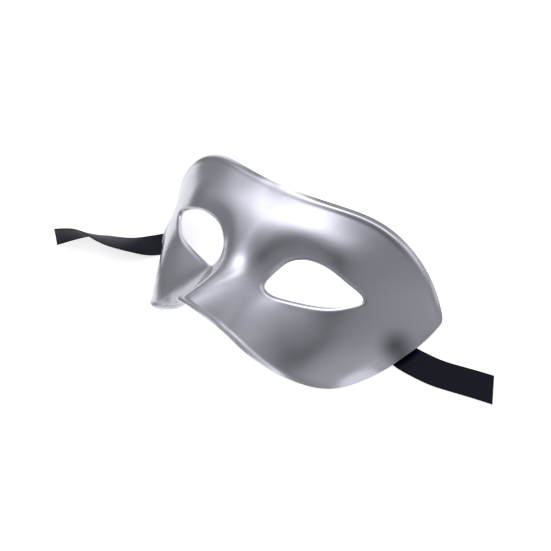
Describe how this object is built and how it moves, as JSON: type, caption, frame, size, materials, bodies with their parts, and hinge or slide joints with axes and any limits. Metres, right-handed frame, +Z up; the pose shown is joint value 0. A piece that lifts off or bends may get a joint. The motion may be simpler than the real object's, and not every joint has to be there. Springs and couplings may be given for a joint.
{
  "type": "venetian half mask",
  "caption": "Venetian half mask: a thin curved shell over the brow, eyes, nose and cheeks, with almond eye holes and a flat ribbon tie at each lower temple edge.",
  "frame": {"origin": "on the table that the mask lies on, below the middle of the shell's bounding box", "axes": "+X to the wearer's left, +Y to the brow, +Z up out of the face; the mask lies face up on its lower temple edges"},
  "size_m": [0.2767, 0.0772, 0.0525],
  "materials": {
    "silver_shell": "satin silver lacquer on moulded plastic",
    "satin_ribbon": "satin weave, dark navy black"
  },
  "bodies": {
    "root": {"mask_shell": "silver_shell", "ribbon_left": "satin_ribbon", "ribbon_right": "satin_ribbon"}
  },
  "joints": []
}
